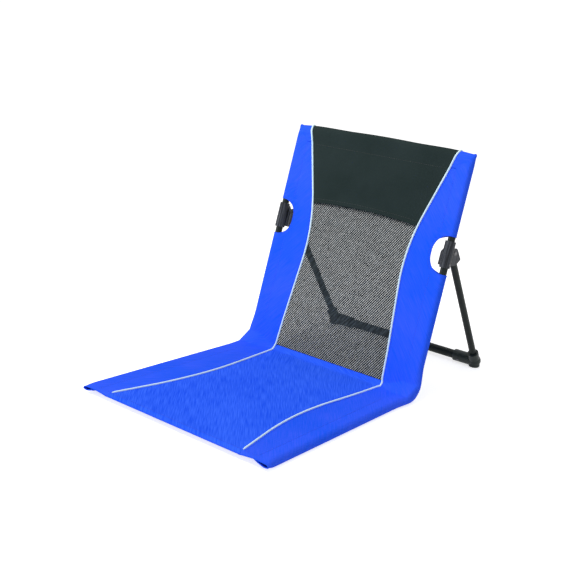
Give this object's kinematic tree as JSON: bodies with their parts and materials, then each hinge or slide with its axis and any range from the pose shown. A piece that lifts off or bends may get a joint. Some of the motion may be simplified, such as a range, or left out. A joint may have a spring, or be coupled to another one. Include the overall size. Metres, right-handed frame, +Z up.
{
  "type": "folding beach chair",
  "caption": "Legless folding beach chair: flat cloth seat at ground level, reclined tube-framed back with mesh centre and headrest, propped on a hinged rear stand.",
  "frame": {"origin": "on the ground, under the middle of the chair's plan box", "axes": "+Z up, the chair faces -Y, the sitter's left is +X"},
  "size_m": [0.486, 0.7338, 0.4863],
  "materials": {
    "black_tube": "gloss powder coat",
    "black_plastic": "moulded, fine texture",
    "nylon": "natural nylon",
    "rivet_steel": "blackened",
    "blue_cloth": "plain woven polyester, slight sheen",
    "dark_cloth": "plain woven polyester",
    "mesh_cloth": "open mesh",
    "piping_cord": "woven tape over cord"
  },
  "bodies": {
    "seat": {"seat_tube_left": "black_tube", "seat_tube_right": "black_tube", "seat_tube_plugs": "black_plastic", "hinge_tongue_left": "black_plastic", "hinge_tongue_right": "black_plastic", "seat_centre_panel": "blue_cloth", "seat_side_panel_left": "blue_cloth", "seat_side_panel_right": "blue_cloth", "seat_piping_left": "piping_cord", "seat_piping_right": "piping_cord"},
    "backrest": {"back_tube_left": "black_tube", "back_tube_right": "black_tube", "top_rail": "black_tube", "top_corner_left": "black_plastic", "top_corner_right": "black_plastic", "hinge_fork_left": "black_plastic", "hinge_fork_right": "black_plastic", "hinge_rivets": "rivet_steel", "pivot_clamp_left": "black_plastic", "pivot_clamp_right": "black_plastic", "clamp_screws": "rivet_steel", "stand_pivot_rivets": "rivet_steel", "back_side_panel_left": "blue_cloth", "back_side_panel_right": "blue_cloth", "headrest_panel": "dark_cloth", "mesh_panel": "mesh_cloth", "back_piping_left": "piping_cord", "back_piping_right": "piping_cord"},
    "rear_stand": {"stand_leg_left": "black_tube", "stand_leg_right": "black_tube", "stand_leg_caps": "black_plastic", "pivot_bushes": "nylon", "pivot_washers": "nylon", "stand_crossbar": "black_tube", "stand_elbow_left": "black_plastic", "stand_elbow_right": "black_plastic", "crossbar_rivets": "rivet_steel"}
  },
  "joints": [
    {"name": "back_fold", "type": "hinge", "parent": "seat", "child": "backrest", "pos_m": [0, 0.07905, 0.019], "axis": [1, 0, 0], "range_deg": [0, 105]},
    {"name": "stand_fold", "type": "hinge", "parent": "backrest", "child": "rear_stand", "pos_m": [0, 0.19345, 0.28548], "axis": [1, 0, 0], "range_deg": [-47, 0]}
  ]
}
